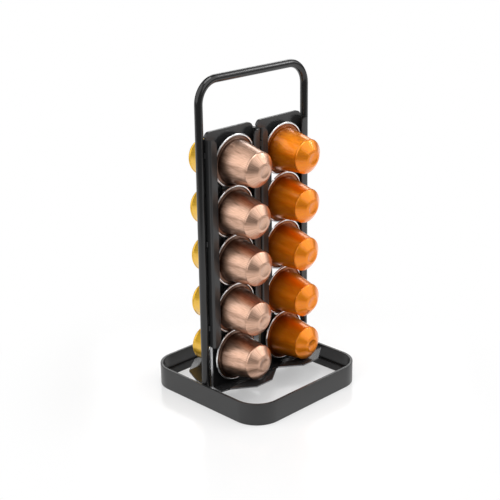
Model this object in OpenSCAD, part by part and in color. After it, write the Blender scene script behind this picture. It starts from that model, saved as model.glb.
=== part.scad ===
// Carry-handled stand for coffee capsules: a square flat-bar ring, a bent rod handle and four folded
// sheet channels standing back to back. The capsules hang in the channels by their rims.
// Millimetres. +Z up, X along the handle, origin at the centre of the ring's underside.

/* [Base ring] */
// Outside length of one side of the square ring
ring_size = 108; // [104:1:130]
// Height of the flat bar that the ring is bent from
ring_h = 15.5; // [12:0.5:22]
// Thickness of that flat bar
ring_wall = 2; // [1.5:0.25:3]
// Outside radius of the ring's corners
ring_corner_r = 18.8; // [10:0.2:24]
// Height of the rubber strip that lines the ring's foot
foot_h = 5; // [3:0.5:8]
// Thickness of the rubber strip
foot_t = 2; // [1.2:0.2:2.6]

/* [Handle] */
// Diameter of the handle's round rod
rod_d = 5.5; // [4.5:0.25:6.5]
// Height from the table to the top of the handle
total_h = 226.4; // [215:0.2:260]
// Centreline radius of the handle's two bends
bend_r = 15.3; // [10:0.1:24]

/* [Channels] */
// Thickness of the folded sheet
sheet = 1; // [0.8:0.1:1.2]
// Slit between the two channels of one face
channel_gap = 0.6; // [0.4:0.1:1.5]
// Depth of a channel from its back to the front of its lips
channel_depth = 6.7; // [6.7:0.1:8]
// Width of each lip, side wall included
lip_w = 6.2; // [5.8:0.1:7]
// Outside radius of the folds
fold_r = 1.5; // [1.3:0.1:2]
// Radius of the lips' rounded corners
lip_corner_r = 4.5; // [2:0.5:5]
// Height of the top edge of the back panels
panel_top = 190.3; // [188:0.1:205]
// Radius of the panels' top corners
panel_corner_r = 4.2; // [2:0.2:6]
// Width that the flat back loses on each side above the side walls, next to the folds
tab_inset = 1.7; // [1.6:0.1:2.5]
// Width that it loses on each side below the mouth
foot_inset = 3.1; // [1.6:0.1:4]
// Diameter of the relief hole where a fold ends
relief_d = 1; // [0.6:0.1:1.2]
// Height where the side walls and lips end, above the mouth
mouth_z = 42; // [40:0.5:46]
// Width of the long slot in each back panel
slot_w = 15.4; // [8:0.2:20]
// Lower end of the slot
slot_low = 44; // [40:1:60]
// Upper end of the slot
slot_high = 166; // [120:1:175]

/* [Trays] */
// Height of the tray's upper face where it leaves the back panel
tray_back_z = 10.2; // [8:0.1:10.6]
// Distance from the back panels' joint plane to the tray's first fold, where it gets steeper
tray_mid_d = 12.4; // [9:0.1:15]
// Height of the tray at that fold
tray_mid_z = 12.4; // [11.2:0.1:13.5]
// Height of the level front part of the tray
tray_front_z = 17; // [16:0.1:18]
// Distance from the back panels' joint plane to the fold before the level part
tray_fold_d = 20.5; // [18:0.5:24]
// Distance from that plane to the tray's front edge
tray_front_d = 31.3; // [28:0.1:34]
// Width of the tray's straight front edge
tray_front_w = 15; // [10:0.5:24]
// Radius of the tray's corners
tray_corner_r = 2.5; // [1:0.5:4]

/* [Capsules] */
// Outside radius of a capsule's rim
rim_r = 18.55; // [18.3:0.05:18.7]
// Thickness of the rim
rim_t = 1.2; // [0.8:0.1:1.2]
// Radius of the cup just in front of the rim
collar_r = 15.2; // [14.6:0.1:15.3]
// Radius of the cup at its shoulder
shoulder_r = 12.1; // [11.4:0.1:12.3]
// Distance from the rim's back to the shoulder
shoulder_a = 22.8; // [20:0.1:24]
// Whole length of a capsule
capsule_l = 28.5; // [26:0.1:30]
// Radius of the flat tip
tip_r = 5.6; // [4:0.1:7]
// Thickness of the cup's wall
cup_wall = 0.5; // [0.3:0.05:0.8]
// Thickness of the foil lid
lid_t = 0.3; // [0.1:0.05:0.4]
// Room between one capsule's rim and the cup above it
stack_play = 0.65; // [0.4:0.05:1.2]

/* [Hidden] */
$fn = 64;
ROWS = [1, 2, 3, 4, 5];
COLUMNS = ["fl", "fr", "rl"];

// Overshoot of every cutter past the face that it cuts
over = 1;
// The rod stands against the ring's inner face, and the channels reach to the rod
ring_inner = ring_size / 2 - ring_wall;
rod_r = rod_d / 2;
leg_x = ring_inner - rod_r;
bar_z = total_h - rod_r;
channel_w = leg_x - rod_r - channel_gap / 2;
column_x = channel_gap / 2 + channel_w / 2;
// Side walls end where the panel's corner rounding starts
side_top = panel_top - panel_corner_r;
tray_slope = atan((tray_mid_z - tray_back_z) / (tray_mid_d - sheet));
tray_rise = atan((tray_front_z - tray_mid_z) / (tray_fold_d - tray_mid_d));
stack_pitch = rim_r + collar_r + stack_play;

// How each column's capsules lie, lowest first: tilt is the nose's droop in degrees, shift is
// sideways from the column's middle, out is the rim's distance from the panels' joint plane, and
// seat is the room between the lowest rim and the tray
tilt_of = [[-2.2, 5.6, 2.4, 5.6, 5.6], [0.5, 5.6, 5.6, 5, 4.9], [0.2, 4.6, 5, 5, 4.6]];
shift_of = [[-1.5, -0.6, 0.5, -0.5, 1.2], [0.2, 0.6, -0.2, 0.5, 0.8], [-0.8, -0.6, 0.4, 0.3, 0.3]];
out_of = [[4, 3.35, 3.35, 3.35, 3.35], [3.9, 3.35, 3.35, 3.35, 3.35], [3.9, 3.35, 3.35, 3.35, 3.35]];
seat_of = [0.85, 0.4, 0.4];
side_of = [-1, 1, -1];
face_of = [0, 0, 1];

// Height of the tray's upper face at a distance d from the panels' joint plane, behind the first fold
function tray_z(d) = tray_back_z + (d - sheet) * tan(tray_slope);

// Height of the lowest capsule's rim centre: its rim's front lower edge just clears the tray
function seat_z(c) =
    tray_z(out_of[c][0] + rim_t * cos(tilt_of[c][0]) - rim_r * sin(tilt_of[c][0]))
    + rim_r * cos(tilt_of[c][0]) + rim_t * sin(tilt_of[c][0]) + seat_of[c];

// Points along an arc about the centre c, from angle a0 to a1
function arc(c, r, a0, a1, n = 6) =
    [for (i = [0 : n]) c + r * [cos(a0 + (a1 - a0) * i / n), sin(a0 + (a1 - a0) * i / n)]];

// A rectangle centred on the origin with round corners
module rounded_rect(w, d, r) {
    square([w - 2 * r, d], center = true);
    square([w, d - 2 * r], center = true);
    for (x = [-1, 1])
        for (y = [-1, 1])
            translate([x * (w / 2 - r), y * (d / 2 - r)])
                circle(r);
}

// What a rounding of radius r takes off a square corner at the origin that fills x < 0 and y < 0
module corner_waste(r, depth) {
    difference() {
        translate([-r, -r, -over])
            cube([r + over, r + over, depth + 2 * over]);
        translate([-r, -r, -2 * over])
            cylinder(r = r, h = depth + 4 * over);
    }
}

// The same, standing on edge: it trims a sheet in the XZ plane that lies at y from -depth to 0
module edge_waste(r, depth) {
    rotate([90, 0, 0])
        corner_waste(r, depth);
}

module ring_band(outer, wall, r, z0, h) {
    translate([0, 0, z0])
        linear_extrude(h)
            difference() {
                rounded_rect(outer, outer, r);
                rounded_rect(outer - 2 * wall, outer - 2 * wall, r - wall);
            }
}

module base_ring() {
    color("#3a3b3d")
        ring_band(ring_size, ring_wall, ring_corner_r, 0, ring_h);
}

module foot_strip() {
    color("#151515")
        ring_band(2 * ring_inner, foot_t, ring_corner_r - ring_wall, 0, foot_h);
}

// One leg, its bend and half of the top bar
module half_handle() {
    translate([leg_x, 0, foot_h])
        cylinder(r = rod_r, h = bar_z - bend_r - foot_h);
    translate([leg_x - bend_r, 0, bar_z - bend_r])
        rotate([90, 0, 0])
            rotate_extrude(angle = 90)
                translate([bend_r, 0])
                    circle(rod_r);
    translate([0, 0, bar_z])
        rotate([0, 90, 0])
            cylinder(r = rod_r, h = leg_x - bend_r);
}

module handle() {
    color("#3a3b3d") {
        half_handle();
        mirror([1, 0, 0])
            half_handle();
    }
}

// Outline of a channel seen from above, walls filled in: the back lies on y = 0
module channel_outline() {
    translate([0, -channel_depth / 2])
        rounded_rect(channel_w, channel_depth, fold_r);
}

// The folded C section: back, two side walls and two lips
module channel_section() {
    difference() {
        channel_outline();
        translate([0, -channel_depth / 2])
            rounded_rect(channel_w - 2 * sheet, channel_depth - 2 * sheet, fold_r - sheet);
        translate([-channel_w / 2 + lip_w, -channel_depth - over])
            square([channel_w - 2 * lip_w, channel_depth / 2]);
    }
}

// Walls and lips, with the lips' free corners rounded
module channel_walls() {
    difference() {
        translate([0, 0, mouth_z])
            linear_extrude(side_top - mouth_z)
                channel_section();
        for (s = [0, 1])
            mirror([s, 0, 0])
                translate([-channel_w / 2 + lip_w, sheet - channel_depth, 0]) {
                    translate([0, 0, side_top])
                        edge_waste(lip_corner_r, sheet);
                    translate([0, 0, mouth_z])
                        mirror([0, 0, 1])
                            edge_waste(lip_corner_r, sheet);
                }
    }
}

// The flat back between the folds, from the tray to the top edge, narrower below the mouth
module channel_panel() {
    half = channel_w / 2;
    difference() {
        translate([tab_inset - half, -sheet, tray_back_z])
            cube([channel_w - 2 * tab_inset, sheet, panel_top - tray_back_z]);
        for (s = [0, 1])
            mirror([s, 0, 0]) {
                translate([half - tab_inset, 0, panel_top])
                    edge_waste(panel_corner_r, sheet);
                translate([half - foot_inset, -sheet - over, 0])
                    cube([foot_inset, sheet + 2 * over, mouth_z]);
            }
    }
}

// Round relief holes at the top of the two back folds
module fold_reliefs() {
    for (s = [0, 1])
        mirror([s, 0, 0])
            translate([channel_w / 2 - tab_inset, over, side_top])
                rotate([90, 0, 0])
                    cylinder(d = relief_d, h = sheet + 2 * over);
}

// The long slot with round ends
module panel_slot() {
    rotate([90, 0, 0])
        translate([0, 0, -over]) {
            for (z = [slot_low + slot_w / 2, slot_high - slot_w / 2])
                translate([0, z, 0])
                    cylinder(d = slot_w, h = sheet + 2 * over);
            translate([-slot_w / 2, slot_low + slot_w / 2, 0])
                cube([slot_w, slot_high - slot_low - slot_w, sheet + 2 * over]);
        }
}

// Side view of the tray: a round fold under the back panel, two slopes and the level front part
module tray_profile() {
    mid = (tray_slope + tray_rise) / 2;
    polygon(concat(
        [[sheet, tray_back_z],
         [tray_mid_d, tray_mid_z],
         [tray_fold_d, tray_front_z],
         [tray_front_d, tray_front_z],
         [tray_front_d, tray_front_z - sheet],
         [tray_fold_d + sheet * tan(tray_rise / 2), tray_front_z - sheet],
         [tray_mid_d, tray_mid_z] + sheet / cos(tray_rise - mid) * [sin(mid), -cos(mid)]],
        arc([sheet, tray_back_z], sheet, tray_slope - 90, -180)));
}

// Plan of the tray: it widens from the panel to the first fold, keeps its full width to the next,
// and its corners are cut towards a narrow front edge
module tray_plan() {
    half = channel_w / 2;
    edge = tray_front_w / 2;
    // Angle that the cut corner turns away from the side, and from the front edge
    cut = atan((half - edge) / (tray_front_d - tray_fold_d));
    r = tray_corner_r;
    side_set = r * tan(cut / 2);
    front_set = r * tan((90 - cut) / 2);
    right = concat(
        arc([half - r, tray_fold_d - side_set], r, 0, cut),
        arc([edge - front_set, tray_front_d - r], r, cut, 90));
    left = [for (i = [len(right) - 1 : -1 : 0]) [-right[i][0], right[i][1]]];
    polygon(concat(
        [[half - foot_inset, 0], [half, tray_mid_d]],
        right, left,
        [[-half, tray_mid_d], [foot_inset - half, 0]]));
}

module tray() {
    mirror([0, 1, 0])
        intersection() {
            linear_extrude(tray_front_z + over)
                tray_plan();
            translate([channel_w / 2 + over, 0, 0])
                rotate([90, 0, -90])
                    mirror([1, 0, 0])
                        linear_extrude(channel_w + 2 * over)
                            tray_profile();
        }
}

// A whole channel about its own middle, opening towards -Y
module channel() {
    color("#3a3b3d")
        difference() {
            union() {
                channel_walls();
                channel_panel();
                tray();
            }
            panel_slot();
            fold_reliefs();
        }
}

// Puts a channel or its parts in place: side -1 is left, and face 1 is the rear
module at_column(side, face) {
    mirror([0, face, 0])
        translate([side * column_x, 0, 0])
            children();
}

module channel_front_left() {
    at_column(-1, 0)
        channel();
}

module channel_front_right() {
    at_column(1, 0)
        channel();
}

module channel_rear_left() {
    at_column(-1, 1)
        channel();
}

module channel_rear_right() {
    at_column(1, 1)
        channel();
}

// Beads that hold the two legs to the ring, one on each side of a leg
module ring_welds() {
    bead_r = 1.5;
    bead_h = 5;
    color("#3a3b3d")
        for (s = [0, 1])
            for (f = [0, 1])
                mirror([s, 0, 0])
                    mirror([0, f, 0])
                        difference() {
                            translate([ring_inner - bead_r / 2, rod_r * 0.85, ring_h - bead_h - 2])
                                cylinder(r = bead_r, h = bead_h);
                            translate([leg_x, 0, 0])
                                cylinder(r = rod_r, h = ring_h);
                            translate([ring_inner, -ring_size / 2, 0])
                                cube([ring_wall, ring_size, ring_h]);
                        }
}

// One bead standing in the groove between two channels, or between a channel and its leg
module channel_bead(x, y, r, z, h) {
    difference() {
        translate([x, y, z])
            cylinder(r = r, h = h);
        for (side = [-1, 1])
            translate([side * column_x, 0, z - over])
                linear_extrude(h + 2 * over)
                    channel_outline();
        for (side = [-1, 1])
            translate([side * leg_x, 0, z - over])
                cylinder(r = rod_r, h = h + 2 * over);
    }
}

module channel_welds() {
    slit_bead_r = 0.9;
    leg_bead_r = 0.8;
    bead_h = 3.5;
    low = mouth_z + 12;
    high = side_top - 12;
    heights = [low, (low + high) / 2, high];
    color("#3a3b3d")
        for (f = [0, 1])
            mirror([0, f, 0])
                for (z = heights) {
                    channel_bead(0, fold_r / 3 - channel_depth, slit_bead_r, z, bead_h);
                    for (side = [-1, 1])
                        channel_bead(side * (leg_x - rod_r), -rod_r * 0.7, leg_bead_r, z, bead_h);
                }
}

// Half section of a cup, radius across and distance from the rim's back upwards: a flat rim with a
// rolled edge, a tapered body, a crisp shoulder and a coned nose with a flat tip
module cup_section() {
    roll = rim_t / 2;
    step = 0.35;
    collar_fillet = 0.8;
    nose_h = capsule_l - shoulder_a;
    outer = concat(
        [[0, capsule_l], [tip_r, capsule_l]],
        arc([tip_r, capsule_l - 1], 1, 80, 50, 3),
        [[shoulder_r - step, shoulder_a + nose_h * 0.12], [shoulder_r, shoulder_a],
         [shoulder_r - step, shoulder_a - step * 2]],
        arc([collar_r + collar_fillet, rim_t + collar_fillet], collar_fillet, 180, 270, 4),
        arc([rim_r - roll, roll], roll, 90, -90, 6));
    inner = [
        [collar_r - cup_wall, 0],
        [collar_r - cup_wall, rim_t],
        [shoulder_r - step - cup_wall, shoulder_a - cup_wall],
        [tip_r, capsule_l - cup_wall],
        [0, capsule_l - cup_wall],
    ];
    polygon(concat(outer, inner));
}

// Carries a capsule from its own axis, rim back on z = 0 and nose up, to its place in a column
module at_capsule(c, i) {
    k = 5 - i;
    at_column(side_of[c], face_of[c])
        translate([shift_of[c][k], -out_of[c][k], seat_z(c) + k * stack_pitch])
            rotate([90 + tilt_of[c][k], 0, 0])
                children();
}

CUP_COLOURS = ["#b58a72", "#e8830f", "#d9a832"];

module cup(c, i) {
    color(CUP_COLOURS[c])
        at_capsule(c, i)
            rotate_extrude()
                cup_section();
}

module lid(c, i) {
    color("#c9cacc")
        at_capsule(c, i)
            translate([0, 0, -lid_t])
                cylinder(r = rim_r - rim_t / 2, h = lid_t);
}

base_ring();
foot_strip();
handle();
channel_front_left();
channel_front_right();
channel_rear_left();
channel_rear_right();
ring_welds();
channel_welds();
for (c = [0 : len(COLUMNS) - 1])
    for (i = ROWS) {
        cup(c, i);
        lid(c, i);
    }
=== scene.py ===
# %% [markdown]
# # A coffee capsule holder, dressed for a studio photograph
# The stand is a flat-bar ring, a bent rod and four folded sheet channels, powder coated in one go.
# Fifteen lacquered aluminium capsules hang in it by their rims.
# The frame that is loaded first holds every solid at its real size, in metres. The cells below
# give each piece a finer surface, a finish and light, and never move it.

# %% Load the frame
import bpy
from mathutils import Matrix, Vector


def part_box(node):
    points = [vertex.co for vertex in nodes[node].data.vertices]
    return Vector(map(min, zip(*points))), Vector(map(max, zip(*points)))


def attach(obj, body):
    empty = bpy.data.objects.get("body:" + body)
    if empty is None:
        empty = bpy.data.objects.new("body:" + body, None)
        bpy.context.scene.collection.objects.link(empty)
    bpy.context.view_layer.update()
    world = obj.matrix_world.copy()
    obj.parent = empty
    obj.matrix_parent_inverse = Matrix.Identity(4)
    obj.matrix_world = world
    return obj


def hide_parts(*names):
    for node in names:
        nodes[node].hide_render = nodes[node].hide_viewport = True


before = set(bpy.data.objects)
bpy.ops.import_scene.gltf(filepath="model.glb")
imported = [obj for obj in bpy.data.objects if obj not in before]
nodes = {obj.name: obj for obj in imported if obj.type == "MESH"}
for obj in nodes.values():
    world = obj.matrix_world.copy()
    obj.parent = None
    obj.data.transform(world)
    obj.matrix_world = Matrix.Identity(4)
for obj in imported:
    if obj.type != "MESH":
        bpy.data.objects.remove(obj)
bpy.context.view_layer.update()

from math import cos, pi, radians, sin

import bmesh
import bpy
import numpy as np
from mathutils import Matrix

MM = 0.001

# %% [markdown]
# ## Surfaces from numbers
# A bent rod, a rolled band and a spun cup are all one idea: a closed outline carried along a path.
# Writing that as one grid of points, worked out with whole arrays, keeps every later cell short.

# %% A grid of points becomes a mesh
def read(items, key, width=1, kind=float):
    """One property of all items of a mesh as an array. With a width, each item has its own row."""
    flat = np.empty(len(items) * width, kind)
    items.foreach_get(key, flat)
    return flat.reshape(-1, width) if width > 1 else flat


def face_outwards(mesh):
    """Merges doubled points and turns all faces outwards. It works on closed, single shells."""
    shell = bmesh.new()
    shell.from_mesh(mesh)
    bmesh.ops.remove_doubles(shell, verts=shell.verts, dist=1e-7)
    bmesh.ops.recalc_face_normals(shell, faces=shell.faces)
    shell.to_mesh(mesh)
    shell.free()


def grid_mesh(name, points, closed=False, cap=False):
    """Makes a mesh from points[i, j]: i runs along the path and j around the outline, which closes.
    Each quad joins (i, j), (i, j + 1), (i + 1, j + 1) and (i + 1, j). A closed path wraps as well,
    and a cap closes each end of an open one with one face."""
    rows, cols = points.shape[:2]
    index = np.arange(rows * cols).reshape(rows, cols)
    if closed:
        index = np.vstack([index, index[:1]])
    index = np.hstack([index, index[:, :1]])
    quads = np.stack([index[:-1, :-1], index[:-1, 1:], index[1:, 1:], index[1:, :-1]], -1)
    faces = quads.reshape(-1, 4).tolist()
    if cap:
        faces.append(list(range(cols))[::-1])
        faces.append(list(range((rows - 1) * cols, rows * cols)))
    mesh = bpy.data.meshes.new(name)
    mesh.from_pydata(points.reshape(-1, 3).tolist(), [], faces)
    face_outwards(mesh)
    return mesh


def make_piece(name, mesh, body, material, node, sharp):
    """Puts a mesh in the scene as a piece that rides on a body, wears one material and stands for a
    CAD node. Edges that turn by more than the sharp angle, in degrees, stay crisp."""
    mesh.polygons.foreach_set("use_smooth", np.ones(len(mesh.polygons), bool))
    mesh.set_sharp_from_angle(angle=radians(sharp))
    piece = bpy.data.objects.new(name, mesh)
    bpy.context.collection.objects.link(piece)
    mesh.materials.append(material)
    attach(piece, body)
    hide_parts(node)
    return piece


print("grid tools ready")

# %% [markdown]
# ## Shader maths in plain expressions
# Blender adds, subtracts and multiplies through Math nodes. A small class around a socket lets the
# materials below say those sums as Python does, and one method makes every other node.

# %% A socket that knows arithmetic
class Value:
    """A number that varies over the surface. Each operator adds the Math node that works it out."""

    def __init__(self, finish, socket):
        self.finish, self.socket = finish, socket

    def maths(self, operation, other, swap=False):
        """Adds one Math node for self and other, or with a swap for other and self."""
        pair = [other, self] if swap else [self, other]
        node = self.finish.node("ShaderNodeMath", {"operation": operation}, {0: pair[0], 1: pair[1]})
        return Value(self.finish, node.outputs[0])

    def __add__(self, other):
        return self.maths("ADD", other)

    def __radd__(self, other):
        return self.maths("ADD", other)

    def __sub__(self, other):
        return self.maths("SUBTRACT", other)

    def __rsub__(self, other):
        return self.maths("SUBTRACT", other, swap=True)

    def __mul__(self, other):
        return self.maths("MULTIPLY", other)

    def __rmul__(self, other):
        return self.maths("MULTIPLY", other)


class Finish:
    """One material and its nodes. Its principled shader is self.shader."""

    def __init__(self, name, **fixed):
        self.material = bpy.data.materials.new(name)
        self.material.use_nodes = True
        self.tree = self.material.node_tree
        self.shader = self.tree.nodes["Principled BSDF"]
        self.place = self.node("ShaderNodeTexCoord").outputs["Object"]
        for socket, value in fixed.items():
            self.shader.inputs[socket.replace("_", " ")].default_value = value

    def node(self, kind, settings=None, sockets=None):
        """Adds a node: its settings first, then a value or a link for each named socket."""
        made = self.tree.nodes.new(kind)
        for key, value in (settings or {}).items():
            setattr(made, key, value)
        for key, value in (sockets or {}).items():
            if isinstance(value, Value):
                value = value.socket
            if isinstance(value, bpy.types.NodeSocket):
                self.tree.links.new(value, made.inputs[key])
            else:
                made.inputs[key].default_value = value
        return made

    def noise(self, scale, detail=2.0, place=None):
        """Cloudy noise of about 1/scale metres a cloud, from 0 to 1."""
        sockets = {"Vector": place or self.place, "Scale": scale, "Detail": detail}
        return Value(self, self.node("ShaderNodeTexNoise", None, sockets).outputs["Fac"])

    def mix(self, factor, first, second):
        """A colour between two others. Each is a socket or three numbers."""
        first, second = (colour if isinstance(colour, bpy.types.NodeSocket) else (*colour, 1.0)
                         for colour in (first, second))
        node = self.node("ShaderNodeMix", {"data_type": "RGBA"}, {0: factor, 6: first, 7: second})
        return node.outputs[2]

    def set(self, socket, value):
        """Links a varying value or a colour to the principled shader."""
        value = value.socket if isinstance(value, Value) else value
        self.tree.links.new(value, self.shader.inputs[socket])

    def bump(self, height, distance, strength):
        """Height, a value about 0 to 1, raises the surface by up to that distance in metres."""
        sockets = {"Height": height, "Distance": distance, "Strength": strength}
        node = self.node("ShaderNodeBump", None, sockets)
        self.tree.links.new(node.outputs["Normal"], self.shader.inputs["Normal"])


print("shader tools ready")

# %% [markdown]
# ## Powder coat
# The coat is a black plastic skin baked on steel. It flows in the oven, so it has a fine orange
# peel and soft highlights, and fine dust in it makes the grey and the sheen a little uneven. The
# glossy rod gets the smoothest coat. On the low laser-cut edges the coat draws thin, with a painted
# highlight.

# %% Powder coat, rubber and thin edges with a painted highlight
COAT_CLOUDS, COAT_PEEL, COAT_DUST = 45.0, 1400.0, 5200.0
COAT_DARK, COAT_LIGHT = np.array([0.86, 0.87, 0.9]), np.array([1.14, 1.15, 1.17])
PEEL_DEPTH = 0.03 * MM
RUBBER_GRAIN, RUBBER_DEPTH = 2600.0, 0.04 * MM
RUBBER_DARK, RUBBER_LIGHT = (0.008, 0.008, 0.009), (0.018, 0.018, 0.019)
EDGE_GRAIN = 700.0
# Lighter steel of the low cut edges: partly the steel under a thin coat, partly a painted highlight.
STEEL_AND_HIGHLIGHT_DARK, STEEL_AND_HIGHLIGHT_LIGHT = (0.38, 0.38, 0.39), (0.72, 0.72, 0.73)


def powder_coat(name, grey, roughness, peeled):
    """A grey plastic that is up to a sixth darker or lighter in clouds and specks. Peeled, from 0
    to 1, says how strongly the orange peel shows."""
    finish = Finish(name, Metallic=0.0, IOR=1.55)
    peel = finish.noise(COAT_PEEL)
    cloud = finish.noise(COAT_CLOUDS, detail=3.0)
    speck = finish.noise(COAT_DUST, detail=1.0)
    shade = 0.6 * cloud + 0.4 * speck
    finish.set("Base Color", finish.mix(shade, grey * COAT_DARK, grey * COAT_LIGHT))
    finish.set("Roughness", roughness - 0.05 + 0.1 * cloud)
    finish.bump(0.8 * peel + 0.2 * speck, PEEL_DEPTH, peeled)
    return finish.material


def grained(name, scale, dark, light, roughness, spread, **fixed):
    """A finish with a grain, from 0 to 1, that takes the colour from dark to light and adds up to
    the spread to the roughness. It returns the finish and the grain."""
    finish = Finish(name, **fixed)
    grain = finish.noise(scale)
    finish.set("Base Color", finish.mix(grain, dark, light))
    finish.set("Roughness", roughness + spread * grain)
    return finish, grain


def foot_rubber():
    """Matt black rubber with a fine grain that can be felt."""
    finish, grain = grained("foot_rubber", RUBBER_GRAIN, RUBBER_DARK, RUBBER_LIGHT,
                            roughness=0.45, spread=0.2, Metallic=0.0, IOR=1.5)
    finish.bump(grain, RUBBER_DEPTH, 0.6)
    return finish.material


def cut_edge():
    """Steel that shines through the thin coat of a cut edge, lighter as a painted highlight where the
    edges catch light.
    """
    finish, _ = grained("thin_coat_and_highlight_edge", EDGE_GRAIN, STEEL_AND_HIGHLIGHT_DARK, STEEL_AND_HIGHLIGHT_LIGHT,
                        roughness=0.22, spread=0.15, Metallic=0.85)
    return finish.material


coat = powder_coat("satin_black_coat", grey=0.025, roughness=0.25, peeled=0.3)
ring_coat = powder_coat("ring_black_coat", grey=0.015, roughness=0.3, peeled=0.3)
rod_coat = powder_coat("gloss_black_coat", grey=0.008, roughness=0.19, peeled=0.03)
rubber = foot_rubber()
thin_coat_highlight_edge = cut_edge()
print("coats, rubber and thin edge ready")

# %% [markdown]
# ## The ring and its foot strip
# The ring is a flat bar on edge, rolled round four corners. A real bar has edges that are broken by
# drawing and by the coat, and those edges catch a line of light. So the outline that runs along the
# square path is a rectangle with small round corners.

# %% Paths and outlines
def arc_points(centre, radius, start, end, count):
    """Points on a circle: centre + radius * (cos a, sin a), with a from start to end in degrees."""
    a = np.radians(np.linspace(start, end, count))
    return np.array(centre) + radius * np.stack([np.cos(a), np.sin(a)], -1)


def round_box_outline(width, height, radius, count=5):
    """A rectangle's outline with quarter circles for corners, centred on the origin."""
    x, y = width / 2 - radius, height / 2 - radius
    corners = [((x, y), 0), ((-x, y), 90), ((-x, -y), 180), ((x, -y), 270)]
    return np.vstack([arc_points(c, radius, a, a + 90, count) for c, a in corners])


def square_path(half, radius, count=17, side=12):
    """A square path with round corners, as points and their outward unit vectors. The straight
    sides get points too, so that long thin faces don't twist the shading."""
    points, outward = [], []
    for quarter in range(4):
        turn = radians(90 * quarter)
        spin = np.array([[cos(turn), -sin(turn)], [sin(turn), cos(turn)]])
        corner = arc_points((half - radius, half - radius), radius, 0, 90, count)
        rays = arc_points((0, 0), 1.0, 0, 90, count)
        run = np.linspace(0, 1, side + 2)[1:-1, None]
        straight = corner[-1] * (1 - run) + np.array([radius - half, half]) * run
        points.append(np.vstack([corner, straight]) @ spin.T)
        outward.append(np.vstack([rays, np.tile(rays[-1], (side, 1))]) @ spin.T)
    return np.vstack(points), np.vstack(outward)


def band(name, node, wall, corner, edge, material):
    """A flat bar rolled into a square with round corners. Its size is its CAD node's box, corner is
    its outside radius, and edge is the radius of its broken edges."""
    low, high = (np.array(c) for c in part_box(node))
    outline = round_box_outline(wall, high[2] - low[2], edge)
    path, outward = square_path(high[0] - wall / 2, corner - wall / 2)
    reach = path[:, None, :] + outward[:, None, :] * outline[None, :, :1]
    height = np.broadcast_to((low[2] + high[2]) / 2 + outline[:, 1], reach.shape[:2])
    mesh = grid_mesh(name, np.dstack([reach, height]), closed=True)
    make_piece(name, mesh, "holder", material, node, sharp=60)
    print(name, "faces:", len(mesh.polygons))


RING_WALL, RING_CORNER, RING_EDGE = 2.0 * MM, 18.8 * MM, 0.35 * MM
STRIP_WALL, STRIP_EDGE = 2.0 * MM, 0.3 * MM
band("ring_bar", "base_ring", RING_WALL, RING_CORNER, RING_EDGE, ring_coat)
band("ring_foot_strip", "foot_strip", STRIP_WALL, RING_CORNER - RING_WALL, STRIP_EDGE,
     rubber)

# %% [markdown]
# ## The handle
# One rod, two bends. A curve object with a round bevel would do, but a grid gives full control of
# where the points go: close together in the bends and far apart on the straights.

# %% The bent rod
def bent_rod(name, node, rod_radius, bend, sides=40, bend_steps=28):
    """A circle carried along an inverted U in the XZ plane: up one leg, round a quarter circle,
    along the bar and down again. Bend is the radius of the centre line."""
    low, high = (np.array(c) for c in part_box(node))
    leg = high[0] - rod_radius
    top = high[2] - rod_radius
    right = arc_points((leg - bend, top - bend), bend, 0, 90, bend_steps)
    left = arc_points((bend - leg, top - bend), bend, 90, 180, bend_steps)
    feet = np.array([[leg, low[2]], [leg, low[2] + rod_radius]])
    path = np.vstack([feet, right, left, feet[::-1] * (-1, 1)])
    ahead = np.gradient(path, axis=0)
    ahead /= np.linalg.norm(ahead, axis=1)[:, None]
    side = np.stack([ahead[:, 1], np.zeros(len(path)), -ahead[:, 0]], -1)
    centre = np.stack([path[:, 0], np.zeros(len(path)), path[:, 1]], -1)
    around = np.linspace(0, 2 * pi, sides, endpoint=False)
    circle = (np.cos(around)[None, :, None] * side[:, None, :]
              + np.sin(around)[None, :, None] * np.array([0, 1, 0]))
    points = centre[:, None, :] + rod_radius * circle
    points[0, :, 2] = points[-1, :, 2] = low[2]
    mesh = grid_mesh(name, points, cap=True)
    make_piece(name, mesh, "holder", rod_coat, node, sharp=60)
    print(name, "faces:", len(mesh.polygons))


bent_rod("handle_rod", "handle", rod_radius=2.75 * MM, bend=15.3 * MM)

# %% [markdown]
# ## The folded channels
# These keep the exact cut and folds of their solids. Laser-cut sheet has crisp edges that the coat
# rounds a little, and in the photograph those edges are the brightest lines on the stand. A copy of
# each solid gets its triangles joined into whole faces, and a narrow bevel makes the edges real.
# Below the mouth the cut edges wear the thin coat and a painted highlight. A cut face is found by
# its shape: it is a strip about as wide as the sheet is thick.

# %% Soft edges on the sheet
SHEET, SHEET_EDGE = 1.0 * MM, 0.3 * MM
NARROWEST, WIDEST = 0.85 * SHEET, 1.25 * SHEET
MOUTH_TOP = 42.0 * MM
FLAT_TURN, EDGE_TURN = radians(0.4), radians(30)


def is_low_cut(face):
    """Whether a face is a cut face below the top of the mouth, where the edges shine. A strip's
    width is its area divided by its length, and its length is half its perimeter less one width."""
    width = face.calc_area() / (face.calc_perimeter() / 2 - SHEET)
    return NARROWEST < width < WIDEST and face.calc_center_median().z < MOUTH_TOP


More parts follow.
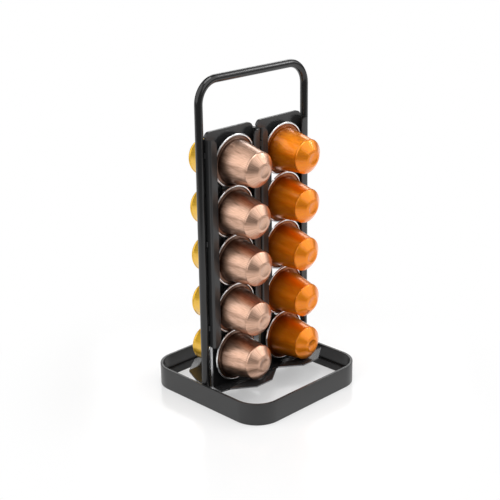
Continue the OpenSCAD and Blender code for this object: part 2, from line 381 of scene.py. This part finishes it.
def soft_edged_copy(name, node):
    """Copies a CAD node, joins its triangles into flat faces, gives the low cut faces the second
    material and rounds every edge sharper than the edge turn."""
    mesh = nodes[node].data.copy()
    mesh.name = name
    mesh.materials.clear()
    shell = bmesh.new()
    shell.from_mesh(mesh)
    bmesh.ops.remove_doubles(shell, verts=shell.verts, dist=2e-7)
    bmesh.ops.dissolve_limit(shell, angle_limit=FLAT_TURN, verts=shell.verts, edges=shell.edges)
    for face in shell.faces:
        # Painted highlight: the low cut faces, where the edges catch light, get the lighter steel.
        face.material_index = int(is_low_cut(face))
    shell.to_mesh(mesh)
    shell.free()
    piece = make_piece(name, mesh, "holder", coat, node, sharp=60)
    mesh.materials.append(thin_coat_highlight_edge)
    bevel = piece.modifiers.new("broken_edges", "BEVEL")
    bevel.width = SHEET_EDGE
    bevel.segments = 3
    bevel.limit_method = "ANGLE"
    bevel.angle_limit = EDGE_TURN
    bevel.harden_normals = True
    thin = sum(face.material_index for face in mesh.polygons)
    print(name, "faces:", len(mesh.polygons), "of them thinly coated:", thin)


for corner in ("front_left", "front_right", "rear_left", "rear_right"):
    soft_edged_copy("sheet_" + corner, "channel_" + corner)

# %% [markdown]
# ## The welds
# The beads are small and mostly hidden. They keep their solids and only get the ring's coat.

# %% Coat the welds
for name in ("ring_welds", "channel_welds"):
    nodes[name].material_slots[0].material = ring_coat
    print(name, "coated")

# %% [markdown]
# ## Lacquered capsules
# A capsule is drawn from thin aluminium and lacquered in a colour that the metal shines through, so
# the shader is a tinted metal under a clear coat. Drawing leaves fine streaks along the cup, which
# stretch the highlight. Towards the rim the colour is darkened with painted shade, for the shade
# that falls where the wall meets the rim, between the collar and the channel's panel.

# %% Lacquer, foil and bare metal
LACQUER_ROUGHNESS, CLEAR_COAT, CLEAR_ROUGHNESS = 0.34, 0.6, 0.12
STREAKS_ROUND, STREAKS_ALONG, STREAK_DEPTH = 150.0, 4.0, 0.06 * MM
LACQUER_CLOUDS = 160.0
# Painted shade towards the rim: how dark it gets, how far along the cup it reaches, its least mix.
PAINTED_SHADE_FACTOR, PAINTED_SHADE_LENGTH, PAINTED_SHADE_LEAST = 0.25, 0.45, 0.15
FOIL_GRAIN, FOIL_DENTS, DENT_DEPTH = 900.0, 110.0, 0.18 * MM
FOIL_DARK, FOIL_LIGHT = (0.66, 0.66, 0.67), (0.8, 0.8, 0.8)
BARE_GRAIN = 1500.0
BARE_DARK, BARE_LIGHT = (0.92, 0.92, 0.93), (0.98, 0.98, 0.98)


def lacquer(name, colour, shadow, metal):
    """A tinted metal under a clear coat. The streaks run along the cup: the piece's own UV map gives
    the turn round the axis as u and the distance along it as v. Noise keeps to the middle of its
    range, so a streak is 2.4 * noise - 0.7. Streaks take the shadow to the full colour. Within the
    painted shade's length from the rim, both fade towards a painted shade, a quarter of the shadow."""
    finish = Finish(name, Metallic=metal, Specular_IOR_Level=0.2, Coat_Weight=CLEAR_COAT,
                    Coat_Roughness=CLEAR_ROUGHNESS, Coat_IOR=1.5)
    uv = finish.node("ShaderNodeUVMap", {"uv_map": "cup"}).outputs["UV"]
    stretch = finish.node("ShaderNodeMapping", None, {
        "Vector": uv, "Scale": (STREAKS_ROUND, STREAKS_ALONG, 1.0)})
    streak = 2.4 * finish.noise(1.0, detail=3.0, place=stretch.outputs["Vector"]) - 0.7
    cloud = finish.noise(LACQUER_CLOUDS)
    along = finish.node("ShaderNodeSeparateXYZ", None, {0: uv}).outputs[1]
    # Painted shade: the colour darkens towards the rim, where shade falls between the rim, the collar
    # and the panel.
    rim_shade_fade = finish.node("ShaderNodeMapRange", {"interpolation_type": "SMOOTHSTEP"}, {
        "Value": along, "From Min": 0.0, "From Max": PAINTED_SHADE_LENGTH, "To Min": PAINTED_SHADE_LEAST})
    bright = finish.mix(0.7 * streak + 0.3 * cloud, shadow, colour)
    # The painted shade's colour, a quarter of the streaks' dark colour.
    painted_rim_shade = PAINTED_SHADE_FACTOR * np.array(shadow)
    finish.set("Base Color", finish.mix(rim_shade_fade.outputs[0], painted_rim_shade, bright))
    finish.set("Roughness", LACQUER_ROUGHNESS - 0.06 + 0.12 * streak)
    finish.bump(streak, STREAK_DEPTH, 0.6)
    return finish.material


def foil():
    """Embossed lid foil: bright metal with a fine grain and soft dents."""
    finish, grain = grained("lid_foil", FOIL_GRAIN, FOIL_DARK, FOIL_LIGHT,
                            roughness=0.26, spread=0.12, Metallic=1.0)
    dent = finish.noise(FOIL_DENTS, detail=1.0)
    finish.bump(0.25 * grain + 0.75 * dent, DENT_DEPTH, 0.5)
    return finish.material


def bare_metal():
    """The rolled edge of the rim, where the lacquer is worn off: bright aluminium, lightly drawn."""
    finish, _ = grained("bare_aluminium", BARE_GRAIN, BARE_DARK, BARE_LIGHT,
                        roughness=0.08, spread=0.1, Metallic=0.9)
    return finish.material


bronze = lacquer("bronze_lacquer", (0.93, 0.60, 0.44), (0.45, 0.24, 0.15), metal=1.0)
orange = lacquer("orange_lacquer", (1.0, 0.34, 0.005), (0.95, 0.20, 0.001), metal=0.6)
gold = lacquer("gold_lacquer", (0.95, 0.58, 0.04), (0.80, 0.44, 0.02), metal=0.75)
lacquers = {"fl": ("bronze_capsule", bronze), "fr": ("orange_capsule", orange),
            "rl": ("gold_capsule", gold)}
lid_foil = foil()
bare_edge = bare_metal()
print("lacquers:", ", ".join(slot for slot, _ in lacquers.values()))

# %% [markdown]
# ## Spinning a cup
# Every cup is one profile spun about its own axis. Where that axis lies is read from the frame: the
# flat lid gives the plane of the rim, and the cup's middle says on which side the nose is.

# %% Where each capsule lies
def capsule_axes(key):
    """The rim's centre, the unit vector towards the nose, and two unit vectors across it. The axis is
    the direction in which the lid's points spread least."""
    lid, cup = (read(nodes[part + key].data.vertices, "co", 3) for part in ("lid_", "cup_"))
    middle = (lid.min(0) + lid.max(0)) / 2
    axis = np.linalg.svd(lid - lid.mean(0), full_matrices=False)[2][2]
    axis *= np.sign(axis @ (cup.mean(0) - middle))
    across = np.cross(axis, (0, 0, 1.0))
    across /= np.linalg.norm(across)
    rim = middle + axis * ((lid - middle) @ axis).max()
    return rim, axis, across, np.cross(axis, across)


# %% The cup's profile
def fillet(before, corner, after, radius, count=5):
    """Replaces a corner by an arc-like curve: a quadratic blend that starts and ends at the radius
    from the corner."""
    before, corner, after = (np.array(p, float) for p in (before, corner, after))
    start = corner + (before - corner) * radius / np.linalg.norm(before - corner)
    end = corner + (after - corner) * radius / np.linalg.norm(after - corner)
    t = np.linspace(0, 1, count)[:, None]
    return (1 - t) ** 2 * start + 2 * t * (1 - t) * corner + t ** 2 * end


CUP_LENGTH = 28.5
RIM_RADIUS, ROLL_AT, ROLL_HALF = 18.55, 17.75, 0.6


def cup_profile():
    """Radius and distance from the rim's back, in millimetres, from the tip round the outside to the
    rim and back along the inside. Only bends get extra points. The rolled rim is an ellipse."""
    tip = [(0, 28.28), (3.75, 28.28), (3.95, 28.46), (4.55, 28.46), (4.75, 28.3), (5.0, 28.3)]
    roll = arc_points((0, 0), 1.0, 205, -90, 17) * (RIM_RADIUS - ROLL_AT, ROLL_HALF)
    parts = [
        tip,
        fillet((5.0, 28.3), (5.75, 28.25), (8.0, 26.5), 0.6),
        fillet((8.0, 26.7), (11.75, 23.75), (12.1, 22.85), 0.6),
        [(12.12, 22.75), (12.05, 22.45), (11.86, 22.25)],
        fillet((11.86, 22.25), (11.82, 22.0), (12.4, 19.0), 0.2, 3),
        [(12.9, 16.0), (13.45, 12.0), (14.0, 8.0), (14.5, 5.0)],
        fillet((14.5, 5.0), (14.95, 2.9), (15.05, 2.0), 0.7),
        fillet((15.05, 2.0), (15.1, 0.5), (16.2, 0.42), 0.5),
        [(16.3, 0.42), (16.85, 0.42)],
        roll + (ROLL_AT, ROLL_HALF),
        [(16.0, 0.0), (14.7, 0.0), (14.7, 1.2), (11.3, 22.3), (5.2, 27.8), (0, 27.9)],
    ]
    return np.vstack([np.array(part, float) for part in parts])


def spun(profile, rim, axis, across, other, sides=96):
    """Spins a profile: rim + axis * distance + radius * (across * cos a + other * sin a)."""
    a = np.linspace(0, 2 * pi, sides, endpoint=False)
    ray = np.cos(a)[:, None] * across + np.sin(a)[:, None] * other
    radius, distance = profile[:, 0, None, None], profile[:, 1, None, None]
    return rim + axis * distance * MM + ray[None] * radius * MM


def add_cup_uv(mesh, rim, axis, across, other):
    """A UV map with the turn round the axis as u and the distance along it as v, both from 0 to 1.
    A face on the seam has its small turns raised by 1, so that no streak is smeared backwards."""
    offset = read(mesh.vertices, "co", 3) - rim
    turn = np.arctan2(offset @ other, offset @ across) / (2 * pi) % 1.0
    length = (offset @ axis) / (CUP_LENGTH * MM)
    corner = read(mesh.loops, "vertex_index", kind=int)
    sizes = read(mesh.polygons, "loop_total", kind=int)
    owner = np.repeat(np.arange(len(sizes)), sizes)
    u = turn[corner]
    highest = np.zeros(len(sizes))
    np.maximum.at(highest, owner, u)
    u = np.where(highest[owner] - u > 0.5, u + 1.0, u)
    layer = mesh.uv_layers.new(name="cup")
    layer.data.foreach_set("uv", np.stack([u, length[corner]], -1).ravel())


profile = cup_profile()
print("cup profile points:", len(profile))


# %% Fifteen cups and lids
def lid_profile():
    """The foil lies over the rim, with a pressed bead just inside it and a slightly sunk middle."""
    return np.array([(0, -0.12), (6, -0.13), (12, -0.17), (14.2, -0.2), (14.6, -0.28), (15.1, -0.28),
                     (15.5, -0.2), (17.2, -0.22), (17.8, -0.2), (17.95, -0.1), (17.95, 0.0),
                     (0, 0.0)])


def bare_the_edge(cup, rim, axis):
    """Gives the rolled edge the bare metal: each face whose middle is further from the axis than
    the bare radius."""
    mesh = cup.data
    offset = read(mesh.polygons, "center", 3) - rim
    along = (offset @ axis)[:, None] * axis
    out = np.linalg.norm(offset - along, axis=1)
    mesh.materials.append(bare_edge)
    mesh.polygons.foreach_set("material_index", (out > BARE_RADIUS * MM).astype(np.int32))


def capsule(key):
    """Spins the cup and the lid of one capsule. Both ride on its body."""
    slot, material = lacquers[key[:2]]
    place = capsule_axes(key)
    body = "capsule_" + key
    mesh = grid_mesh("cup_shell_" + key, spun(profile, *place))
    add_cup_uv(mesh, *place)
    cup = make_piece("cup_shell_" + key, mesh, body, material, "cup_" + key, sharp=50)
    bare_the_edge(cup, *place[:2])
    lid = grid_mesh("foil_lid_" + key, spun(lid_profile(), *place, sides=64))
    make_piece("foil_lid_" + key, lid, body, lid_foil, "lid_" + key, sharp=50)


BARE_RADIUS = ROLL_AT - 0.25
ROWS = 5
for column in lacquers:
    for row in range(1, ROWS + 1):
        capsule(f"{column}_{row}")
print("capsules:", len(lacquers) * ROWS)

# %% [markdown]
# ## Camera
# The camera stands where the photographer's stood: to the front left of the stand and a little
# above it, with a long lens.

# %% Camera
def looking(azimuth, elevation, distance, target, roll=0.0):
    """The matrix of a thing that looks at the target from a distance. From azimuth 0 it looks along
    +Y, and the roll turns it about its line of sight. All angles are in degrees."""
    a, e, r = radians(azimuth), radians(elevation), radians(roll)
    back = np.array([sin(a) * cos(e), -cos(a) * cos(e), sin(e)])
    right = np.array([cos(a), sin(a), 0.0])
    up = np.cross(back, right)
    matrix = np.eye(4)
    matrix[:3, 0] = cos(r) * right + sin(r) * up
    matrix[:3, 1] = cos(r) * up - sin(r) * right
    matrix[:3, 2] = back
    matrix[:3, 3] = np.array(target) + back * distance
    return Matrix(matrix.tolist())


def add_camera(matrix, lens):
    """The scene's camera, with a lens in millimetres on a 36 mm sensor."""
    data = bpy.data.cameras.new("studio_camera")
    data.lens, data.sensor_width = lens, 36.0
    data.clip_start, data.clip_end = 0.05, 50.0
    camera = bpy.data.objects.new("studio_camera", data)
    camera.matrix_world = matrix
    bpy.context.collection.objects.link(camera)
    bpy.context.scene.camera = camera
    return camera


CAMERA_DISTANCE, CAMERA_TARGET = 784.9 * MM, (-5.098 * MM, 0, 100.51 * MM)
camera_matrix = looking(-44.775, 19.671, CAMERA_DISTANCE, CAMERA_TARGET, roll=-0.755)
camera = add_camera(camera_matrix, lens=82.31)
print("camera at", [round(x, 3) for x in camera.matrix_world.translation])

# %% [markdown]
# ## Floor and light
# The floor is a pale glossy board, white to the camera, that keeps the stand's shadow and a faint
# mirror image. Large soft boxes to the left, to the right, above and behind give long, soft
# highlights, and a small bright core to the right gives the crisp ones.

# %% Floor
FLOOR_WHITE = 0.4
FADE_START, FADE_END = 0.07, 0.2
FLOOR_RADIUS, FLOOR_BACK, FLOOR_SIDES, FLOOR_SINK = 2.4, 2.0, 120, 0.02 * MM
AWAY_X, AWAY_Y = 0.704, 0.71
BOARD_COLOUR, WHITE = (0.93, 0.93, 0.93, 1), (1, 1, 1, 1)


def pale_floor():
    """White of strength 1 and the lit board are mixed. Near the stand the board has the larger
    share, so that shadows show, and far away the white has it all, so that no edge can be seen."""
    finish = Finish("pale_floor", Metallic=0.0, Roughness=0.16, IOR=1.4)
    finish.shader.inputs["Base Color"].default_value = BOARD_COLOUR
    far = finish.node("ShaderNodeVectorMath", {"operation": "LENGTH"}, {0: finish.place})
    fade = finish.node("ShaderNodeMapRange", {"interpolation_type": "SMOOTHSTEP"}, {
        "Value": far.outputs["Value"], "From Min": FADE_START, "From Max": FADE_END,
        "To Min": FLOOR_WHITE})
    white = finish.node("ShaderNodeEmission", None, {"Color": WHITE, "Strength": 1.0})
    both = finish.node("ShaderNodeMixShader", None, {
        0: fade.outputs[0], 1: finish.shader.outputs[0], 2: white.outputs[0]})
    out = finish.tree.nodes["Material Output"]
    finish.tree.links.new(both.outputs[0], out.inputs["Surface"])
    return finish.material


def lay_floor():
    """A round board. Its middle lies behind the stand, away from the camera."""
    middle = (AWAY_X * FLOOR_BACK, AWAY_Y * FLOOR_BACK)
    edge = arc_points(middle, FLOOR_RADIUS, 0, 360 - 360 / FLOOR_SIDES, FLOOR_SIDES)
    mesh = bpy.data.meshes.new("studio_floor")
    mesh.from_pydata([(x, y, -FLOOR_SINK) for x, y in edge], [], [tuple(range(FLOOR_SIDES))])
    mesh.materials.append(pale_floor())
    floor = bpy.data.objects.new("studio_floor", mesh)
    bpy.context.collection.objects.link(floor)


lay_floor()
print("floor laid")


# %% Soft boxes and sky
STAND_MIDDLE = (0, 0, 0.11)
SKY_FILL, SKY_SEEN = 0.2, 1.0
SOFT_BOXES = [
    # name, azimuth, elevation, distance, width, height, radiance
    ("left_box", -108, 36, 1.2, 1.8, 1.45, 1.35),
    ("key_box", 34, 40, 1.2, 2.0, 1.1, 1.2),
    ("core_box", 59, 36, 1.15, 0.14, 0.3, 8.0),
    ("top_box", 0, 86, 1.1, 0.6, 0.6, 4.2),
    ("back_box", 133, 28, 1.3, 0.7, 0.45, 2.6),
]


def soft_box(name, azimuth, elevation, distance, width, height, radiance):
    """A rectangle of light that faces the stand's middle. Its power is pi * area * radiance."""
    data = bpy.data.lights.new(name, "AREA")
    data.shape, data.size, data.size_y = "RECTANGLE", width, height
    data.energy = pi * width * height * radiance
    lamp = bpy.data.objects.new(name, data)
    lamp.matrix_world = looking(azimuth, elevation, distance, STAND_MIDDLE)
    bpy.context.collection.objects.link(lamp)


def sky():
    """A plain dark grey sky fills the shadows, and the camera sees it white."""
    world = bpy.data.worlds.new("studio_sky")
    world.use_nodes = True
    bpy.context.scene.world = world
    tree = world.node_tree
    background = tree.nodes["Background"]
    path = tree.nodes.new("ShaderNodeLightPath")
    strength = tree.nodes.new("ShaderNodeMapRange")
    strength.inputs["To Min"].default_value = SKY_FILL
    strength.inputs["To Max"].default_value = SKY_SEEN
    tree.links.new(path.outputs["Is Camera Ray"], strength.inputs["Value"])
    tree.links.new(strength.outputs[0], background.inputs["Strength"])
    background.inputs["Color"].default_value = WHITE


for box in SOFT_BOXES:
    soft_box(*box)
sky()
bpy.context.scene.view_settings.view_transform = "Standard"
